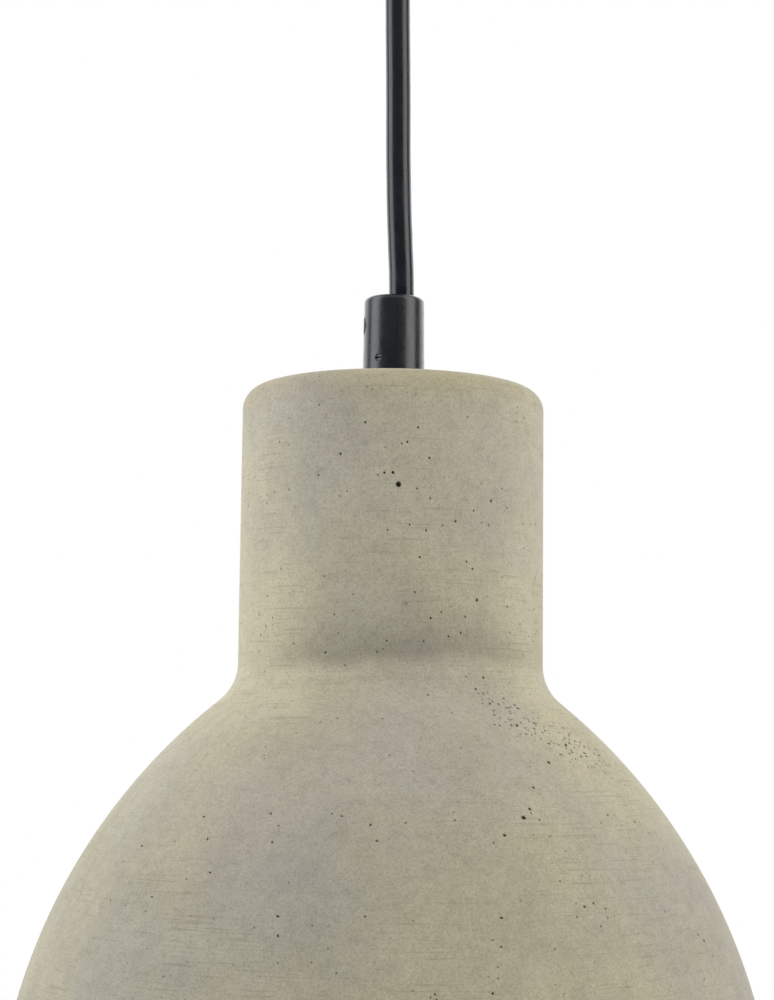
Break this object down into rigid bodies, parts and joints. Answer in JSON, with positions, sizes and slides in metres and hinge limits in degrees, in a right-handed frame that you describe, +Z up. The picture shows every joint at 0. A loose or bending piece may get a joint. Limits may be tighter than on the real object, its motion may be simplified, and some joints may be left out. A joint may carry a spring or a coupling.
{
  "type": "pendant light",
  "caption": "Cast-concrete bell pendant light with a straight neck, hung on a short black cord with plastic cord grips from a round ceiling canopy; screw socket inside.",
  "frame": {"origin": "middle of the ceiling fitting, on the ceiling plane, where the bracket's upper face and the canopy's rim lie", "axes": "+Z up out of the room into the ceiling, the lamp hangs into -Z; +X to the right seen from the front, along the bracket; +Y away from the viewer; the clamp screws are on -X"},
  "size_m": [0.2052, 0.2052, 0.3663],
  "materials": {
    "concrete": "cast grey-beige concrete, matt, fine pores",
    "grip_plastic": "black moulded plastic, satin gloss",
    "cord_sheath": "smooth black round cord",
    "canopy_paint": "black fine powder coat on steel",
    "zinc_steel": "zinc-plated steel",
    "black_steel": "blackened steel",
    "brass": "plain brass",
    "holder_plastic": "black thermoset",
    "white_plastic": "white nylon",
    "porcelain": "unglazed white ceramic",
    "core_brown": "brown insulation",
    "core_blue": "blue insulation",
    "core_earth": "green and yellow striped insulation"
  },
  "bodies": {
    "ceiling_fitting": {"ceiling_bracket": "zinc_steel", "canopy_cup": "canopy_paint", "canopy_side_screws": "black_steel", "terminal_block": "white_plastic", "terminal_sleeves": "brass", "terminal_screws": "brass", "terminal_fixing_screw": "zinc_steel", "earth_screw": "brass", "canopy_grip": "grip_plastic", "canopy_lock_screw": "black_steel", "canopy_nipple": "zinc_steel", "canopy_washer": "zinc_steel", "canopy_nut": "zinc_steel", "live_core_upper": "core_brown", "neutral_core_upper": "core_blue", "earth_core": "core_earth", "cord_tail_upper": "cord_sheath"},
    "canopy_clamp": {"canopy_clamp_screw": "grip_plastic"},
    "hanging_cord": {"supply_cord": "cord_sheath"},
    "lamp": {"cord_tail_lower": "cord_sheath", "shade_grip": "grip_plastic", "shade_lock_screw": "black_steel", "grip_washer": "black_steel", "shade_nipple": "zinc_steel", "concrete_shade": "concrete", "under_washer": "zinc_steel", "shade_nut": "zinc_steel", "lampholder_cap": "holder_plastic", "lampholder_lock_screw": "zinc_steel", "lampholder_insert": "porcelain", "holder_terminal_screws": "brass", "screw_shell": "brass", "centre_contact": "brass", "lampholder_skirt": "holder_plastic", "live_core_lower": "core_brown", "neutral_core_lower": "core_blue"},
    "shade_clamp": {"shade_clamp_screw": "grip_plastic"}
  },
  "joints": [
    {"name": "cord_swing", "type": "hinge", "parent": "ceiling_fitting", "child": "hanging_cord", "pos_m": [0, 0, -0.0504], "axis": [0, 1, 0], "range_deg": [-35, 35]},
    {"name": "lamp_tilt", "type": "hinge", "parent": "hanging_cord", "child": "lamp", "pos_m": [0.002, 0, -0.1454], "axis": [1, 0, 0], "range_deg": [-15, 15]},
    {"name": "canopy_clamp_travel", "type": "slide", "parent": "ceiling_fitting", "child": "canopy_clamp", "axis": [-1, 0, 0], "range_m": [0, 0.003]},
    {"name": "shade_clamp_travel", "type": "slide", "parent": "lamp", "child": "shade_clamp", "axis": [-1, 0, 0], "range_m": [0, 0.003]}
  ]
}
